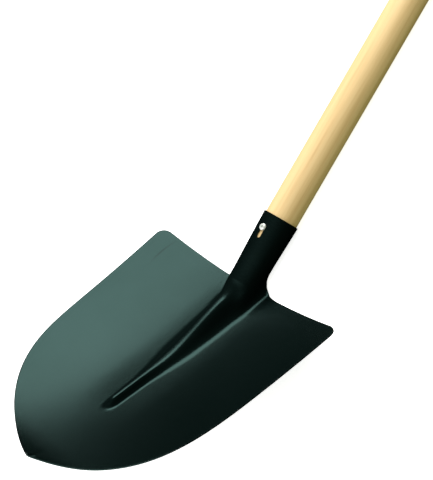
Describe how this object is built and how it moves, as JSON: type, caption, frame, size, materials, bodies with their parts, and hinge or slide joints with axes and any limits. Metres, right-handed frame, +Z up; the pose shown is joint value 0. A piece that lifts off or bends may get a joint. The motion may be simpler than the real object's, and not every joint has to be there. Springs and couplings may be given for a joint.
{
  "type": "round point shovel",
  "caption": "Long-handled round point shovel: dished steel blade with a raised spine and rolled socket, held to a straight round wooden handle by a screw.",
  "frame": {"origin": "middle of the bounding box in X and Y, at its bottom in Z: the shovel lies front side up with the back of the socket's mouth on Z = 0", "axes": "+Y along the straight handle from the blade to the free end, +Z up, out of the front (hollow) side of the blade, +X to the right seen from the front with the handle up"},
  "size_m": [0.2684, 1.4682, 0.1803],
  "materials": {
    "blade_paint": "satin green-black",
    "handle_wood": "pale sanded hardwood, clear matt lacquer",
    "screw_zinc": "bright zinc plate"
  },
  "bodies": {
    "root": {"blade": "blade_paint", "handle": "handle_wood", "screw": "screw_zinc"}
  },
  "joints": []
}
